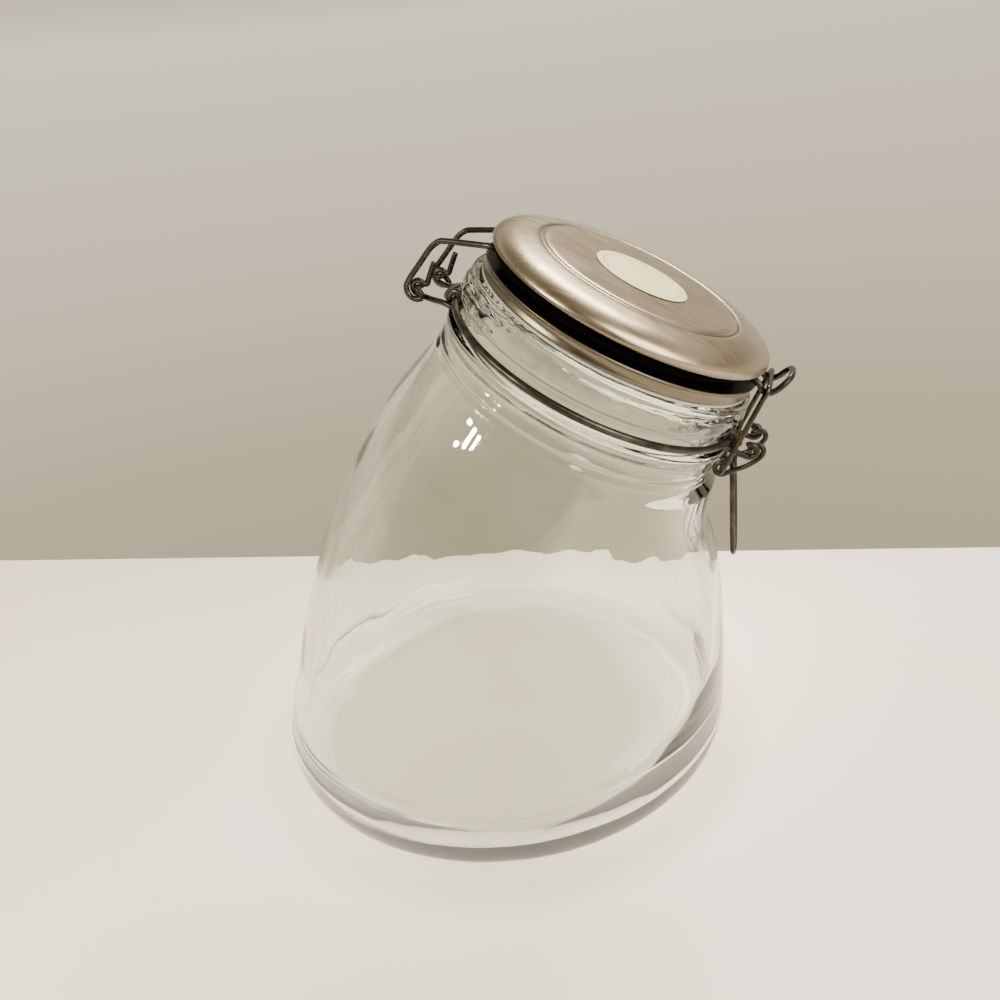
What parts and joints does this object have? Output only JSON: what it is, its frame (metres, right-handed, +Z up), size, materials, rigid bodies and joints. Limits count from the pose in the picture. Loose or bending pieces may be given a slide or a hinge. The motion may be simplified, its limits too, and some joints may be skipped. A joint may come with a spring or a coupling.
{
  "type": "wire bail storage jar",
  "caption": "Clear glass storage jar with a tilted round mouth, a domed steel lid on a wire hinge and a wire bail clasp.",
  "frame": {"origin": "middle of the flat underside of the glass", "axes": "+Z up, +X towards the clasp, which is the low side of the tilted mouth, +Y to the left seen from behind the hinge; the jar is symmetric about the XZ plane"},
  "size_m": [0.2343, 0.2038, 0.231],
  "materials": {
    "glass": "clear pressed glass with a faint green tint",
    "dark_wire": "aged dark steel wire",
    "lid_steel": "pressed steel with fine scratches",
    "black_rubber": "dull black",
    "clear_rubber": "pale translucent",
    "label_paper": "matt cream sticker"
  },
  "bodies": {
    "jar": {"glass_jar": "glass", "neck_wire": "dark_wire", "hinge_bracket": "dark_wire", "clasp_bracket": "dark_wire"},
    "lid": {"lid_wire": "dark_wire", "lid_dome": "lid_steel", "lid_core": "black_rubber", "lid_flange": "lid_steel", "lid_gasket": "clear_rubber", "lid_label": "label_paper"},
    "lever": {"clasp_lever": "dark_wire"},
    "link": {"clasp_link": "dark_wire"}
  },
  "joints": [
    {"name": "lid_hinge", "type": "hinge", "parent": "jar", "child": "lid", "pos_m": [-0.00832, 0, 0.20922], "axis": [0, -1, 0], "range_deg": [0, 130]},
    {"name": "lever_pivot", "type": "hinge", "parent": "jar", "child": "lever", "pos_m": [0.11518, 0, 0.1434], "axis": [0, -1, 0], "range_deg": [0, 30]},
    {"name": "link_pivot", "type": "hinge", "parent": "lever", "child": "link", "pos_m": [0.10482, 0, 0.13512], "axis": [0, 1, 0], "range_deg": [0, 137]}
  ],
  "couplings": [
    {"joint": "lever_pivot", "follows": "lid_hinge", "ratio": 0.2307},
    {"joint": "link_pivot", "follows": "lid_hinge", "ratio": 1.0538}
  ]
}
